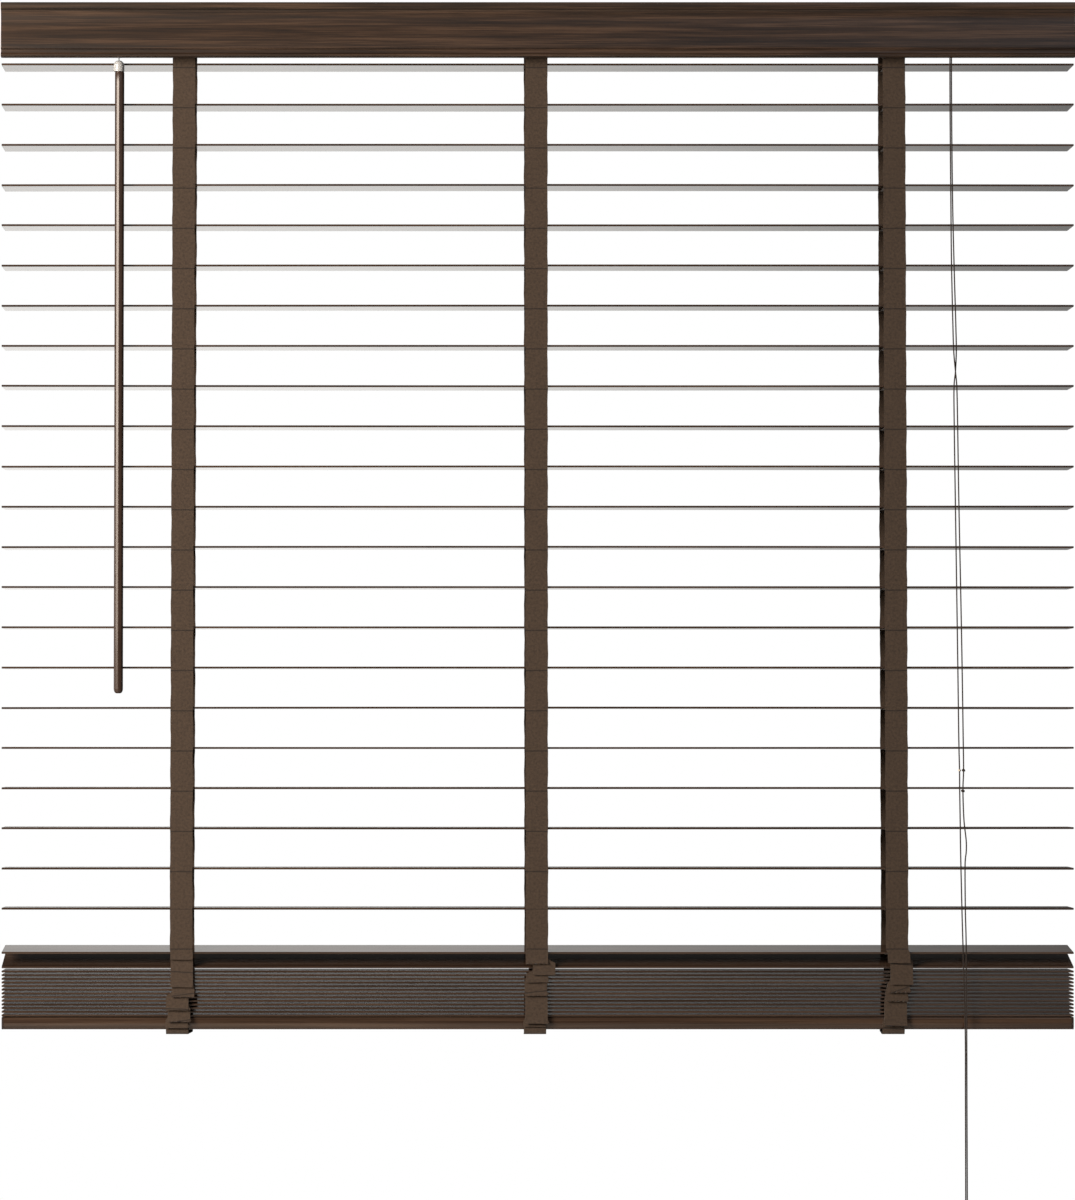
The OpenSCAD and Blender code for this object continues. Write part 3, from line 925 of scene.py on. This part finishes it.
@dataclass
class Slats:
    """All the slats, with eased edges, cord slots, bow and twist, and the rungs they lie on."""

    dresser: Dresser
    count: int = 37
    length: float = 1200.0
    depth: float = 50.0
    thickness: float = 2.2
    ease: float = 0.8
    tapes: tuple[float, ...] = (-398.0, 0.0, 398.0)
    slot_r: float = 3.0
    slot_straight: float = 6.0
    rung_w: float = 6.0
    rung_t: float = 0.4
    rung_shift: float = 6.5
    # share of its thickness that a slat keeps at its eased ends
    end_share: float = 0.65
    # most bow in millimetres and twist in radians, and the share of them in the stack
    bow: float = 0.45
    twist: float = 0.006
    calm: float = 0.35
    # number, lean in degrees and drop in millimetres of the two slats that lie askew on the stack
    leaning: tuple = ((23, 7.0, 0.0), (24, 15.0, 0.5))
    first_stacked: int = 24

    def section(self) -> tuple[Points, list[int]]:
        """Outline of a slat, and the numbers of its four points beside the cord slot.

        The top runs from front to back and the underside from back to front, joined by round
        corners.
        """
        edge, half, slot = self.depth / 2 - self.ease, self.thickness / 2, self.slot_straight
        flat = np.array([-edge, -edge + 1.0, -slot, slot, edge - 1.0, edge])
        low = half - self.ease
        outline = np.concatenate([
            np.stack([flat, np.full(6, half)], axis=-1),
            corner((edge, low), self.ease, 90, 0)[1:],
            corner((edge, -low), self.ease, 0, -90)[:-1],
            np.stack([flat[::-1], np.full(6, -half)], axis=-1),
            corner((-edge, -low), self.ease, -90, -180)[1:],
            corner((-edge, low), self.ease, 180, 90)[:-1],
        ])
        return outline, [2, 3, 16, 17]

    def stations(self) -> tuple[Points, Points, list[tuple[int, int]]]:
        """Places along X, the cord slot's half length at each, and each slot's first and last."""
        turn = np.radians(np.linspace(-90, 90, 7))
        slot_x = [x + self.slot_r * np.sin(turn) for x in (self.tapes[0], self.tapes[2])]
        plain = board_stations(self.length, 29)
        plain = plain[np.all([np.abs(plain - s[3]) > 6 for s in slot_x], axis=0)]
        x = np.sort(np.concatenate([plain, *slot_x]))
        reach = np.full(len(x), self.slot_straight)
        spans = []
        for places in slot_x:
            first = int(np.searchsorted(x, places[0]))
            reach[first:first + 7] += self.slot_r * np.cos(turn)
            spans.append((first, first + 6))
        return x, reach, spans

    def board(
        self, number: int, centre: float, lean: float, shape: np.random.Generator
    ) -> bpy.types.Object:
        """One slat.

        Height over the slat's middle plane is a bow, the square of the place along X, plus a twist,
        the place along X times the place across.

        Args:
            number: the slat's number from the top.
            centre: height of its middle in millimetres.
            lean: how far it leans back in degrees.
            shape: source of its bow and twist.

        Returns:
            The new object.
        """
        outline, beside = self.section()
        x, reach, spans = self.stations()
        rings = np.broadcast_to(outline, (len(x), *outline.shape)).copy()
        rings[:, beside, 0] = np.sign(outline[beside, 0]) * reach[:, None]
        rings[[0, -1], :, 0] *= 1 - EASE / (self.depth / 2)
        rings[[0, -1], :, 1] *= self.end_share
        calm = self.calm if number >= self.first_stacked else 1.0
        bow, twist = (shape.uniform(-most, most) * calm for most in (self.bow, self.twist))
        share = x / (self.length / 2)
        turn = (math.radians(lean) + twist * share)[:, None]
        y, z = rings[..., 0], rings[..., 1]
        rise = centre + bow * (share**2 - 0.35)[:, None]
        grid = np.stack(
            [
                np.broadcast_to(x[:, None], y.shape),
                y * np.cos(turn) - z * np.sin(turn),
                y * np.sin(turn) + z * np.cos(turn) + rise,
            ],
            axis=-1,
        )
        index = np.arange(grid.shape[0] * grid.shape[1]).reshape(grid.shape[:2])
        quads = grid_faces(index)
        keep = np.ones(quads.shape[:2], bool)
        faces = [index[0][::-1].tolist(), index[-1].tolist()]
        for first, last in spans:
            keep[first:last, [beside[0], beside[2]]] = False
            here, there = slice(first, last), slice(first + 1, last + 1)
            for near, far in ((beside[0], beside[3]), (beside[1], beside[2])):
                wall = [index[here, near], index[there, near], index[there, far], index[here, far]]
                faces += np.stack(wall, axis=-1).tolist()
            faces += index[np.ix_([first, last], beside)].tolist()
        obj = finished(f"slat_board_{number:02d}", grid, quads[keep].tolist() + faces, None, 35.0)
        outwards(obj)
        return obj

    def rungs(self, number: int, centre: float, lean: float) -> bpy.types.Object:
        """The strips of tape that a slat lies on: two for each ladder, from web to web.

        Args:
            number: the slat's number from the top.
            centre: height of its middle in millimetres.
            lean: how far it leans back in degrees.

        Returns:
            One object with all six strips.
        """
        low = self.thickness / 2 + self.rung_t / 2 + 0.06
        edge = self.depth / 2
        half = np.array([
            [edge + 2.35, 0.35], [edge + 1.6, -0.1], [edge + 0.9, -0.7], [edge + 0.35, -low + 0.25],
            [edge - 0.5, -low], [edge - 4, -low], [10.0, -low - 0.04],
        ])
        y, z = np.concatenate([half * [-1, 1], half[::-1]]).T
        turn = math.radians(lean)
        grid = np.empty((len(y), 3, 3))
        grid[..., 1] = (y * math.cos(turn) - z * math.sin(turn))[:, None]
        grid[..., 2] = (y * math.sin(turn) + z * math.cos(turn))[:, None] + centre
        parts = []
        for x in self.tapes:
            for shift in (-self.rung_shift, self.rung_shift):
                grid[..., 0] = np.linspace(-self.rung_w / 2, self.rung_w / 2, 3) + x + shift
                parts.append(ribbon("rung", grid, self.rung_t))
        return joined(f"rungs_{number:02d}", parts)

    def build(self) -> None:
        """Makes each slat with its rungs, at the height and lean of its place in the frame."""
        shape = np.random.default_rng(7)
        askew = {number: (lean, drop) for number, lean, drop in self.leaning}
        for number in range(1, self.count + 1):
            node = f"slat_{number:02d}"
            low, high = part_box(node)
            lean, drop = askew.get(number, (0.0, 0.0))
            centre = (low.z + high.z) / 2 / MM - drop
            board = self.dresser.dress(self.board(number, centre, lean, shape), "painted_wood")
            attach(board, node)
            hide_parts(node)
            rungs = self.dresser.dress(self.rungs(number, centre, lean), "woven_tape")
            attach(rungs, node)


def joined(name: str, parts: list[bpy.types.Object]) -> bpy.types.Object:
    """One object from several, with their maps, and the separate ones removed."""
    work = bmesh.new()
    for part in parts:
        work.from_mesh(part.data)
        mesh = part.data
        bpy.data.objects.remove(part)
        bpy.data.meshes.remove(mesh)
    mesh = bpy.data.meshes.new(name)
    work.to_mesh(mesh)
    work.free()
    obj = bpy.data.objects.new(name, mesh)
    bpy.context.scene.collection.objects.link(obj)
    return obj


# ---------------------------------------------------------------- ladder tapes


@dataclass(frozen=True)
class Pleats:
    """How one ladder's slack lies in front of the stack.

    Attributes:
        edges: height of the lower edge of each fold.
        shifts: sideways place of each fold from the tape's own middle.
        skews: slope of each fold's edge across the tape.
    """

    edges: tuple[float, ...]
    shifts: tuple[float, ...]
    skews: tuple[float, ...]

    def sideways(self, fold: int, z: Points) -> Points:
        """Sideways place of a fold at given heights.

        It is the fold's own, and above the edge of the fold before it, that one's.

        Args:
            fold: the fold's number from the top.
            z: the heights in millimetres.

        Returns:
            The place at each height.
        """
        if fold == 0:
            return np.full(len(z), self.shifts[0])
        own = np.clip((self.edges[fold - 1] + 5.0 - z) / 4.0, 0.0, 1.0)
        return self.shifts[fold] * own + self.sideways(fold - 1, z) * (1 - own)


@dataclass
class LadderTapes:
    """Three ladder tapes: hanging webs, links below them, and the slack round the bottom rail."""

    dresser: Dresser
    width: float = 25.0
    thickness: float = 0.4
    plane: float = 27.6
    top: float = -27.0
    last_open: float = -1013.0
    first_slat: float = -68.0
    pitch: float = 45.0
    link_end: float = -1058.0
    fold_top: float = -1056.0
    fold_foot: float = -1149.0
    wrap: float = -1153.1
    face: float = 25.9
    layer: float = 0.5
    # how far the foot of a fold stands out, and over what height
    bulge: float = 2.2
    bulge_span: float = 3.0
    slack_length: float = 1420.0
    # size and span of the sines that an edge wavers by
    wavers: tuple = ((0.2, 61.0), (0.12, 27.0), (0.06, 11.0))
    # how far a web dips at a rung and over what height, and how far and how fast its edges curl
    dip: float = 0.35
    dip_span: float = 2.5
    curl: float = 0.25
    curl_span: float = 90.0
    # sideways place of each ladder at its top and at its last open slat
    ladders: tuple = (("left", -395.5, -399.0), ("middle", -1.6, -1.0), ("right", 398.3, 402.0))

    def pleats(self, ladder: str, side: Side) -> Pleats:
        """The folds of one web, from the top down.

        Those that end above an earlier one's edge lie hidden behind it. The back's are the front's,
        moved a little, and turned the other way.

        Args:
            ladder: name of the ladder.
            side: the face of the blind that the web hangs at.

        Returns:
            The folds.
        """
        chosen = {
            "left": Pleats(
                (-1069.7, -1100.3, -1111.3, -1126.0, -1125.4, -1139.0, -1138.4, -1146.0, -1145.5,
                 -1145.0, -1144.5),
                (0.5, 0.8, 2.4, -4.2, -2.0, -2.2, -1.0, -4.8, -3.0, -4.0, -4.4),
                (0.02, 0.06, -0.16, 0.05, 0.0, -0.18, -0.1, 0.04, 0.0, 0.0, 0.0),
            ),
            "middle": Pleats(
                (-1074.6, -1086.8, -1095.0, -1110.0, -1109.2, -1141.0, -1140.4, -1139.8, -1139.2,
                 -1144.5, -1144.0),
                (0.0, 8.2, 0.4, -1.2, 1.0, -0.4, 1.0, 0.0, -1.0, -2.6, -2.0),
                (0.3, 0.04, -0.06, -0.12, 0.0, 0.03, 0.0, 0.0, 0.0, 0.06, 0.0),
            ),
            "right": Pleats(
                (-1073.4, -1097.5, -1106.5, -1105.5, -1116.5, -1115.0, -1143.5, -1142.5, -1141.5,
                 -1141.0, -1144.5),
                (2.2, 5.2, 1.6, 3.0, -0.4, 1.0, -1.6, -2.4, -2.0, -1.0, -4.0),
                (0.03, 0.08, -0.4, -0.3, -0.38, -0.2, 0.04, 0.0, 0.0, 0.0, 0.05),
            ),
        }[ladder]
        if side is Side.FRONT:
            return chosen
        folds = len(chosen.edges)
        swap = np.resize([-1.0, 1.0, 0.6, -1.4], folds)
        drop = np.resize([1.5, -2.0, 1.0, 1.5, -1.0, 0.5], folds)
        return Pleats(
            tuple(np.array(chosen.edges) + drop),
            tuple(np.array(chosen.shifts) * swap * 0.6),
            tuple(-np.array(chosen.skews) * 0.8),
        )

    def middle_x(self, ladder: tuple, z: Points) -> Points:
        """Sideways place of a web: a straight drift from its top to the last open slat."""
        _, high, low = ladder
        return np.interp(z, [self.last_open, self.top], [low, high])

    def columns(self) -> Points:
        """Places across the web, closer together at its edges."""
        return self.width / 2 * np.array([-1.0, -0.92, -0.6, -0.2, 0.2, 0.6, 0.92, 1.0])

    def web(
        self, ladder: tuple, side: Side, start: float, stop: float, shape: np.random.Generator
    ) -> Points:
        """Middle surface of a straight hanging web between two heights.

        Its edges waver by a sum of three sines, and curl by another times the square of the place
        across. It dips towards the slats at every rung, by a bell curve of the distance from it.

        Args:
            ladder: name of the ladder, and its sideways place at its top and foot.
            side: the face of the blind that the web hangs at.
            start: upper height in millimetres.
            stop: lower height in millimetres.
            shape: source of the wavering.

        Returns:
            Points of the surface, as an array of stations x columns x 3.
        """
        count = round((start - stop) / 3.0) + 1
        z = np.linspace(start, stop, count)
        u = self.columns()[None]
        fade = np.clip(np.minimum(start - z, z - stop) / 12.0, 0.0, 1.0)
        edge = np.zeros((2, count))
        for size, span in self.wavers:
            edge += size * np.sin(math.tau * (z / span + shape.uniform(0, 1, (2, 1))))
        mix = u / self.width + 0.5
        waver = (edge[0][:, None] * (1 - mix) + edge[1][:, None] * mix) * fade[:, None]
        from_rung = (z - self.first_slat + self.pitch / 2) % self.pitch - self.pitch / 2
        dip = self.dip * np.exp(-((from_rung / self.dip_span) ** 2)) * (z < -60) * fade
        curl = self.curl * np.sin(math.tau * (z / self.curl_span + shape.uniform())) * fade
        y = side.value * (self.plane - dip[:, None] + curl[:, None] * (2 * u / self.width) ** 2)
        x = self.middle_x(ladder, z)[:, None] + u + waver
        return np.stack(np.broadcast_arrays(x, y, z[:, None]), axis=-1)

    def folded(self, ladder: tuple, side: Side) -> tuple[Points, Points]:
        """Middle line of one side's slack, and the slope of its folds along it.

        The runs between folds lie on parallel planes that lean outwards going down, like shingles,
        each one layer further down and in than the last, so they can't meet. Half a turn of a small
        circle joins each pair.

        Args:
            ladder: name of the ladder, and its sideways place at its top and foot.
            side: the face of the blind that the folds lie at.

        Returns:
            Points of the line in millimetres, and the slope at each.
        """
        plan = self.pleats(ladder[0], side)
        edges = np.array(plan.edges)
        count = 2 * len(edges) + 1
        drop = (self.fold_top - self.fold_foot) / count
        slope = self.layer / drop
        x0 = float(self.middle_x(ladder, np.array([self.last_open]))[0])
        points, skews = [[x0, self.plane, self.link_end]], [0.0]
        for run in range(count):
            start = self.fold_top - run * drop
            fold = min(run // 2, len(edges) - 1)
            low = edges[fold] if run < count - 1 else self.fold_foot
            high = self.link_end - 6.0 if run == 0 else min(start - 1.2, self.link_end - 1.0)
            heights = np.concatenate([
                np.linspace(low, high, 6), low + np.array([0.7, 1.4, 2.2, 3.2, 4.5]),
                (edges[:fold, None] + np.array([1.0, 2.0, 3.0, 4.0, 5.0])).ravel(),
            ])
            heights = np.unique(heights[(heights >= low) & (heights <= high)].round(2))
            heights = heights[::-1] if run % 2 == 0 else heights
            x = x0 + plan.sideways(fold, heights)
            swell = self.bulge * np.exp(-(((heights - low) / self.bulge_span) ** 2))
            y = self.face + (start - heights) * slope + swell
            points += np.stack([x, y, heights], axis=-1).tolist()
            skews += [plan.skews[fold]] * len(heights)
            if run < count - 1:
                sign = -1 if run % 2 == 0 else 1
                middle_y = y[-1] - drop / 2 * slope
                for turn in np.radians([-60, -20, 20, 60]):
                    points.append([
                        x[-1], middle_y - math.sin(turn) * self.layer / 2,
                        heights[-1] + sign * math.cos(turn) * self.layer / 2,
                    ])
                    skews.append(plan.skews[fold])
        line = np.array(points)
        line[:, 1] *= side.value
        return line, np.array(skews)

    def slack(self, ladder: tuple) -> bpy.types.Object:
        """One ladder's slack: front folds, under the bottom rail, and back folds, as one strip.

        A point of the strip is the middle line at its running length plus the place across times
        the folds' slope, moved sideways by the place across.

        Args:
            ladder: name of the ladder, and its sideways place at its top and foot.

        Returns:
            The new object.
        """
        front, front_skew = self.folded(ladder, Side.FRONT)
        back, back_skew = self.folded(ladder, Side.BACK)
        xf, xb = front[-1, 0], back[-1, 0]
        under = np.array([
            [xf, -27.4, -1150.6], [xf, -26.4, -1152.2], [xf, -24.4, self.wrap],
            [xf, -18, self.wrap], [(xf + xb) / 2, 0, self.wrap], [xb, 18, self.wrap],
            [xb, 24.4, self.wrap], [xb, 26.4, -1152.2], [xb, 27.4, -1150.6],
        ])
        line = np.concatenate([front, under, back[::-1]])
        skew = np.concatenate([front_skew, np.zeros(len(under)), back_skew[::-1]])
        run = arc_length(line)
        stations = np.unique(np.concatenate([run, (run[1:] + run[:-1]) / 2]))
        stations = stations[np.concatenate([[True], np.diff(stations) > 0.12])]
        slope = np.interp(stations, run, skew)
        ends = np.clip(np.minimum(stations, run[-1] - stations) / 10.0, 0, 1)
        u = self.columns()
        places = np.clip(stations[:, None] + u[None] * (slope * ends)[:, None], 0, run[-1])
        grid = along(line, places)
        grid[..., 0] += u[None]
        obj = ribbon(f"tape_slack_{ladder[0]}", grid, self.thickness)
        self.dresser.dress(obj, "woven_tape")
        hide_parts("lower_tapes")
        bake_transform(obj)
        LOG.info("%s: %.0f mm of tape in its folds", obj.name, run[-1])
        return obj

    def build(self) -> None:
        """Makes every web, link and slack."""
        shape = np.random.default_rng(21)
        for ladder in self.ladders:
            for side in Side:
                label = f"{side.name.lower()}_{ladder[0]}"
                node = f"{side.name.lower()}_tapes"
                hanging = self.web(ladder, side, self.top, self.last_open, shape)
                web = ribbon(f"tape_{label}", hanging, self.thickness)
                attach(self.dresser.dress(web, "woven_tape"), node)
                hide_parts(node)
                short = self.web(ladder, side, self.last_open, self.link_end, shape)
                link = ribbon(f"tape_link_{label}", short, self.thickness)
                self.dresser.dress(link, "woven_tape")
                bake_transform(link)
            self.slack(ladder)


# ---------------------------------------------------------------- headrail, valance, rail and wand


@dataclass
class Valance:
    """The moulding that hangs in front of the headrail."""

    dresser: Dresser
    length: float = 1198.0
    front: float = -49.0
    back: float = -39.0
    top: float = -2.0
    # height below the top and depth behind the front plane: fillet, step, hollow, quirk and bead
    mould: tuple = (
        (0.0, 1.4), (0.35, 0.5), (1.1, 0.05), (2.6, 0.0), (4.6, 0.0), (6.6, 0.1), (7.3, 0.5),
        (7.6, 1.2), (7.7, 2.6), (8.1, 3.3), (9.2, 3.9), (11.0, 4.5), (13.5, 5.0), (16.5, 5.25),
        (20.0, 5.1), (24.0, 4.6), (28.0, 3.9), (32.0, 3.1), (36.0, 2.25), (40.0, 1.45),
        (43.5, 0.85), (47.0, 0.4), (49.6, 0.15), (51.2, 0.1), (51.9, 0.3), (52.3, 1.0),
        (52.5, 2.0), (54.0, 2.3), (56.0, 2.3), (57.0, 1.9), (57.3, 1.0), (57.8, 0.3), (58.6, 0.0),
        (59.4, 0.15), (60.2, 0.8), (60.8, 1.8), (61.0, 2.6),
    )

    def build(self) -> None:
        """Carries the moulding, which has a flat back, along X."""
        face = np.array(self.mould)
        foot = self.top - face[-1, 0]
        outline = np.concatenate([
            np.stack([self.front + face[:, 1], self.top - face[:, 0]], axis=-1),
            [[self.back - EASE, foot], [self.back, foot + EASE]],
            [[self.back, self.top - EASE], [self.back - EASE, self.top]],
        ])
        obj = along_x("valance_moulding", outline, board_stations(self.length, 15), 42.0)
        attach(self.dresser.dress(obj, "foiled_valance"), "root")
        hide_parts("valance")


@dataclass
class BottomRail:
    """The bottom rail: a solid board with eased top edges and bevelled lower ones."""

    dresser: Dresser
    length: float = 1196.0
    depth: float = 50.0
    height: float = 13.5
    top: float = -1134.5
    bevel: tuple[float, float] = (1.8, 2.8)
    round_mm: float = 1.2

    def build(self) -> None:
        """Carries the rail's outline along X."""
        half, low = self.depth / 2, self.top - self.height
        across, up = self.bevel
        side = np.concatenate([
            corner((half - self.round_mm, self.top - self.round_mm), self.round_mm, 90, 0),
            [[half, low + up + 0.5], [half - 0.25, low + up - 0.1]],
            [[half - across + 0.3, low + 0.35], [half - across - 0.3, low]],
        ])
        outline = np.concatenate([side, side[::-1] * [-1, 1]])
        obj = along_x("bottom_rail_board", outline, board_stations(self.length, 15), 30.0)
        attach(self.dresser.dress(obj, "painted_wood"), "bottom_rail")
        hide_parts("bottom_rail")


@dataclass
class TiltWand:
    """The wand with its hook."""

    dresser: Dresser
    x: float = -468.0
    y: float = -33.977
    neck: float = -54.603
    lean: float = 35.0
    wand_top: float = -70.0
    wand_l: float = 702.0
    wand_r: float = 5.35
    neck_share: float = 0.93
    # how far the stick leans to the left by its tip
    drift: float = 1.6
    tip: float = 5.0
    wire_r: float = 0.6
    # top of the wire's head, inside the cap
    head_top: float = -68.0

    def stick(self) -> None:
        """An eight-sided stick.

        The outline's radius at an angle follows a flat-sided octagon with soft corners, and falls
        as a quarter ellipse going into the tip.
        """
        sides, per_side = 8, 5
        turn = np.linspace(0.0, math.tau, sides * per_side, endpoint=False)
        within = (turn + math.pi / sides) % (math.tau / sides) - math.pi / sides
        soft = np.minimum(math.cos(math.pi / sides) / np.cos(within), 0.985)
        curve = np.radians(np.linspace(15, 88, 6))
        shoulder = self.wand_l - self.tip
        down = np.concatenate([
            [0.0, 0.6, 8.0, 8.6], np.linspace(20, shoulder, 12), shoulder + self.tip * np.sin(curve)
        ])
        radii = np.concatenate([
            np.array([0.9, 1.0, 1.0]) * self.neck_share, np.ones(13), 0.35 + 0.65 * np.cos(curve)
        ])
        radius = self.wand_r * radii[:, None] * soft[None]
        angle = turn + math.pi / sides
        rings = np.stack(
            [
                self.x + self.drift * (0.5 - down[:, None] / self.wand_l) + radius * np.cos(angle),
                self.y + radius * np.sin(angle),
                np.broadcast_to(self.wand_top - down[:, None], radius.shape),
            ],
            axis=-1,
        )
        obj = self.dresser.dress(shell("wand_stick", rings, sharp=60.0), "dark_wand")
        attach(obj, "wand")
        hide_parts("wand")

    def hook(self) -> None:
        """A bent wire: an open ring round the worm's neck, then a shank down to a flat head."""
        lean = math.radians(self.lean)
        ahead = np.array([0.0, -math.cos(lean), math.sin(lean)])
        up = np.array([0.0, math.sin(lean), math.cos(lean)])
        ball = np.array([self.x, self.y, self.neck])
        turn = np.radians(500.0 - 22.0 * np.arange(15))[:, None]
        ring = ball + 1.5 * up + 2.4 * (np.sin(turn) * [1.0, 0.0, 0.0] + np.cos(turn) * ahead)
        shank = ball + np.array([
            [0.3, 3.0, -1.2], [0.3, 3.2, -2.9], [0.2, 2.4, -5.2], [0.0, 0.6, -6.8],
            [0.0, 0.0, -8.4], [0.0, 0.0, self.head_top - 0.5 - self.neck],
        ])
        line = smooth_line(np.concatenate([ring, shank]), 0.5)
        wire = tube("wire", line, self.wire_r, (0.2, 1.0, 0.3), 12)
        outline = [[0.0, 0.3], [0.0, 1.8], [-0.2, 2.0], [-0.8, 2.0], [-1.0, 1.8], [-1.0, 0.3]]
        head = shell("head", turned((self.x, self.y, self.head_top), np.array(outline), 20))
        obj = joined("wand_hook_wire", [wire, head])
        self.dresser.dress(obj, "zinc_steel")
        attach(obj, "wand_hook")
        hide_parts("wand_hook")

    def build(self) -> None:
        """Makes the stick and its hook."""
        self.stick()
        self.hook()


CARRIED_OVER = (
    "headrail", "headrail_end_caps", "mounting_brackets", "valance_clips", "tilt_rod",
    "tape_rockers", "rod_supports", "tilter_housing", "tilter_gear", "tilter_worm", "wand_cap",
    "cord_lock", "bottom_rail_fittings",
)


def main() -> None:
    """Builds every sub-assembly round the frame."""
    logging.basicConfig(level=logging.INFO, format="%(message)s")
    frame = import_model()
    dresser = Dresser()
    Studio().build()
    for part in (
        PullCords(dresser), LiftCords(dresser), Slats(dresser), LadderTapes(dresser),
        Valance(dresser), BottomRail(dresser), TiltWand(dresser),
    ):
        part.build()
        LOG.info("%s built", type(part).__name__)
    for node in CARRIED_OVER:
        dresser.dress_node(frame, node)


if __name__ == "__main__":
    main()
